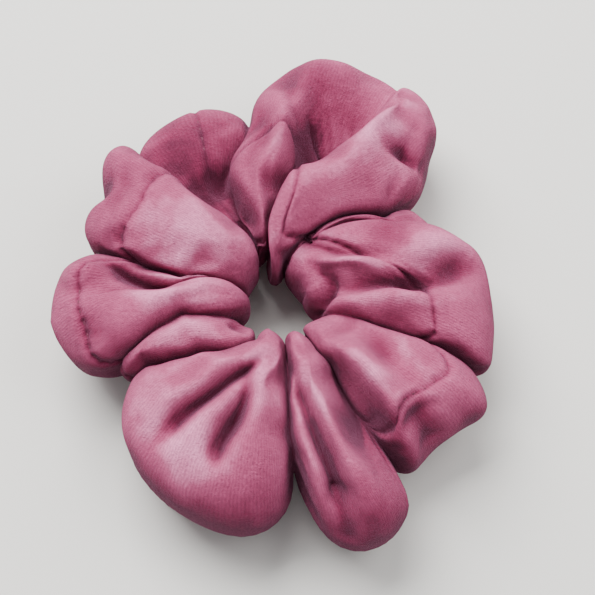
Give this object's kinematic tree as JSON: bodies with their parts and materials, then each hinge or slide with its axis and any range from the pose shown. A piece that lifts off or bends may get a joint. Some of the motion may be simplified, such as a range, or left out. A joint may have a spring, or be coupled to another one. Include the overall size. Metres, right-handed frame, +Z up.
{
  "type": "scrunchie",
  "caption": "Velvet hair scrunchie: a gathered fabric tube, sewn closed round a hidden loop of flat elastic, that stretches open to go over a ponytail.",
  "frame": {"origin": "on the loop's axis, in the plane that the scrunchie rests on", "axes": "+Z up along the loop's axis; +X the way the loop is pulled open; +Y across it"},
  "size_m": [0.118, 0.114, 0.0363],
  "materials": {
    "velvet": "soft knit velvet with a short pile and a sheen",
    "thread": "matt sewing thread, dyed to match",
    "elastic": "braided flat elastic, matt",
    "join_thread": "matt white zigzag stitching"
  },
  "bodies": {
    "left_half": {"sleeve_left": "velvet", "long_seam_left": "thread", "closing_seam": "thread", "elastic": "elastic", "elastic_join": "join_thread"},
    "right_half": {"sleeve_right": "velvet", "long_seam_right": "thread"}
  },
  "joints": [
    {"name": "stretch", "type": "slide", "parent": "left_half", "child": "right_half", "axis": [1, 0, 0], "range_m": [0, 0.09], "stiffness_N_per_m": 80, "deforming": ["elastic"]}
  ]
}
